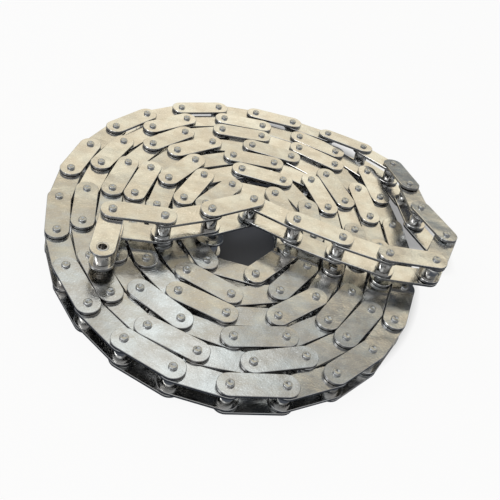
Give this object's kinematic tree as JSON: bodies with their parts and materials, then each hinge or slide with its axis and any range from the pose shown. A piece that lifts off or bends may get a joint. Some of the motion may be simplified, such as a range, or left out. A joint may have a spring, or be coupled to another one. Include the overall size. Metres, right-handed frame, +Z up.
{
  "type": "conveyor chain",
  "caption": "Stainless conveyor chain with straight side plates and small rollers, wound flat into an oval coil, its outer end lying across the top.",
  "frame": {"origin": "middle of the coil's outline, at the floor it lies on", "axes": "+Z up along the pins, +Y along the coil's longer side, away from the free strand's hooked end; +X towards the climb"},
  "size_m": [0.2745, 0.2892, 0.0423],
  "materials": {
    "plate_steel": "bright rolled stainless steel, lightly scratched",
    "pin_steel": "stainless steel, riveted ends satin",
    "bush_steel": "turned stainless steel, satin",
    "roller_steel": "polished stainless steel"
  },
  "bodies": {
    "coil": {"turn_1_inner_links": "plate_steel", "turn_1_outer_links": "plate_steel", "turn_2_inner_links": "plate_steel", "turn_2_outer_links": "plate_steel", "turn_3_inner_links": "plate_steel", "turn_3_outer_links": "plate_steel", "turn_4_inner_links": "plate_steel", "turn_4_outer_links": "plate_steel", "turn_5_inner_links": "plate_steel", "turn_5_outer_links": "plate_steel", "turn_6_inner_links": "plate_steel", "turn_6_outer_links": "plate_steel", "turn_7_inner_links": "plate_steel", "turn_7_outer_links": "plate_steel"},
    "strand_1": {"strand_1_lower_plate": "plate_steel", "strand_1_pins": "pin_steel", "strand_1_upper_plate": "plate_steel"},
    "strand_2": {"strand_2_bushes": "bush_steel", "strand_2_lower_plate": "plate_steel", "strand_2_upper_plate": "plate_steel"},
    "strand_2_roller_a": {"strand_2_roller_a": "roller_steel"},
    "strand_2_roller_b": {"strand_2_roller_b": "roller_steel"},
    "strand_3": {"strand_3_lower_plate": "plate_steel", "strand_3_pins": "pin_steel", "strand_3_upper_plate": "plate_steel"},
    "strand_4": {"strand_4_bushes": "bush_steel", "strand_4_lower_plate": "plate_steel", "strand_4_upper_plate": "plate_steel"},
    "strand_4_roller_a": {"strand_4_roller_a": "roller_steel"},
    "strand_4_roller_b": {"strand_4_roller_b": "roller_steel"},
    "strand_5": {"strand_5_lower_plate": "plate_steel", "strand_5_pins": "pin_steel", "strand_5_upper_plate": "plate_steel"},
    "strand_6": {"strand_6_bushes": "bush_steel", "strand_6_lower_plate": "plate_steel", "strand_6_upper_plate": "plate_steel"},
    "strand_6_roller_a": {"strand_6_roller_a": "roller_steel"},
    "strand_6_roller_b": {"strand_6_roller_b": "roller_steel"},
    "strand_7": {"strand_7_lower_plate": "plate_steel", "strand_7_pins": "pin_steel", "strand_7_upper_plate": "plate_steel"},
    "strand_8": {"strand_8_bushes": "bush_steel", "strand_8_lower_plate": "plate_steel", "strand_8_upper_plate": "plate_steel"},
    "strand_8_roller_a": {"strand_8_roller_a": "roller_steel"},
    "strand_8_roller_b": {"strand_8_roller_b": "roller_steel"},
    "tail_1": {"tail_1_lower_plate": "plate_steel", "tail_1_pins": "pin_steel", "tail_1_upper_plate": "plate_steel"},
    "tail_2": {"tail_2_bushes": "bush_steel", "tail_2_lower_plate": "plate_steel", "tail_2_upper_plate": "plate_steel"},
    "tail_2_roller_a": {"tail_2_roller_a": "roller_steel"},
    "tail_2_roller_b": {"tail_2_roller_b": "roller_steel"}
  },
  "joints": [
    {"name": "strand_1_hinge", "type": "hinge", "parent": "coil", "child": "strand_1", "pos_m": [0.11321, -0.04755, 0.03178], "axis": [0, 0, 1], "range_deg": [-8, 38]},
    {"name": "strand_2_hinge", "type": "hinge", "parent": "strand_1", "child": "strand_2", "pos_m": [0.08155, -0.04517, 0.03178], "axis": [0, 0, 1], "range_deg": [-8, 32]},
    {"name": "strand_2_roller_a_spin", "type": "hinge", "parent": "strand_2", "child": "strand_2_roller_a", "pos_m": [0.08155, -0.04517, 0.03178], "axis": [0, 0, 1], "continuous": true},
    {"name": "strand_2_roller_b_spin", "type": "hinge", "parent": "strand_2", "child": "strand_2_roller_b", "pos_m": [0.05177, -0.03415, 0.03178], "axis": [0, 0, 1], "continuous": true},
    {"name": "strand_3_hinge", "type": "hinge", "parent": "strand_2", "child": "strand_3", "pos_m": [0.05177, -0.03415, 0.03178], "axis": [0, 0, 1], "range_deg": [-15, 36]},
    {"name": "strand_4_hinge", "type": "hinge", "parent": "strand_3", "child": "strand_4", "pos_m": [0.02283, -0.02108, 0.03178], "axis": [0, 0, 1], "range_deg": [-15, 36]},
    {"name": "strand_4_roller_a_spin", "type": "hinge", "parent": "strand_4", "child": "strand_4_roller_a", "pos_m": [0.02283, -0.02108, 0.03178], "axis": [0, 0, 1], "continuous": true},
    {"name": "strand_4_roller_b_spin", "type": "hinge", "parent": "strand_4", "child": "strand_4_roller_b", "pos_m": [-0.00458, -0.00506, 0.03178], "axis": [0, 0, 1], "continuous": true},
    {"name": "strand_5_hinge", "type": "hinge", "parent": "strand_4", "child": "strand_5", "pos_m": [-0.00458, -0.00506, 0.03178], "axis": [0, 0, 1], "range_deg": [-15, 36]},
    {"name": "strand_6_hinge", "type": "hinge", "parent": "strand_5", "child": "strand_6", "pos_m": [-0.03295, -0.01933, 0.03178], "axis": [0, 0, 1], "range_deg": [-15, 36]},
    {"name": "strand_6_roller_a_spin", "type": "hinge", "parent": "strand_6", "child": "strand_6_roller_a", "pos_m": [-0.03295, -0.01933, 0.03178], "axis": [0, 0, 1], "continuous": true},
    {"name": "strand_6_roller_b_spin", "type": "hinge", "parent": "strand_6", "child": "strand_6_roller_b", "pos_m": [-0.06265, -0.03055, 0.03178], "axis": [0, 0, 1], "continuous": true},
    {"name": "strand_7_hinge", "type": "hinge", "parent": "strand_6", "child": "strand_7", "pos_m": [-0.06265, -0.03055, 0.03178], "axis": [0, 0, 1], "range_deg": [-15, 40]},
    {"name": "strand_8_hinge", "type": "hinge", "parent": "strand_7", "child": "strand_8", "pos_m": [-0.09437, -0.02927, 0.03178], "axis": [0, 0, 1], "range_deg": [-20, 42]},
    {"name": "strand_8_roller_a_spin", "type": "hinge", "parent": "strand_8", "child": "strand_8_roller_a", "pos_m": [-0.09437, -0.02927, 0.03178], "axis": [0, 0, 1], "continuous": true},
    {"name": "strand_8_roller_b_spin", "type": "hinge", "parent": "strand_8", "child": "strand_8_roller_b", "pos_m": [-0.09786, -0.06083, 0.03178], "axis": [0, 0, 1], "continuous": true},
    {"name": "tail_1_hinge", "type": "hinge", "parent": "coil", "child": "tail_1", "pos_m": [-0.01273, 0.03561, 0.01046], "axis": [0, 0, 1], "range_deg": [0, 25]},
    {"name": "tail_2_hinge", "type": "hinge", "parent": "tail_1", "child": "tail_2", "pos_m": [-0.03276, 0.01098, 0.01046], "axis": [0, 0, 1], "range_deg": [0, 25]},
    {"name": "tail_2_roller_a_spin", "type": "hinge", "parent": "tail_2", "child": "tail_2_roller_a", "pos_m": [-0.02918, -0.02057, 0.01046], "axis": [0, 0, 1], "continuous": true},
    {"name": "tail_2_roller_b_spin", "type": "hinge", "parent": "tail_2", "child": "tail_2_roller_b", "pos_m": [-0.03276, 0.01098, 0.01046], "axis": [0, 0, 1], "continuous": true}
  ]
}
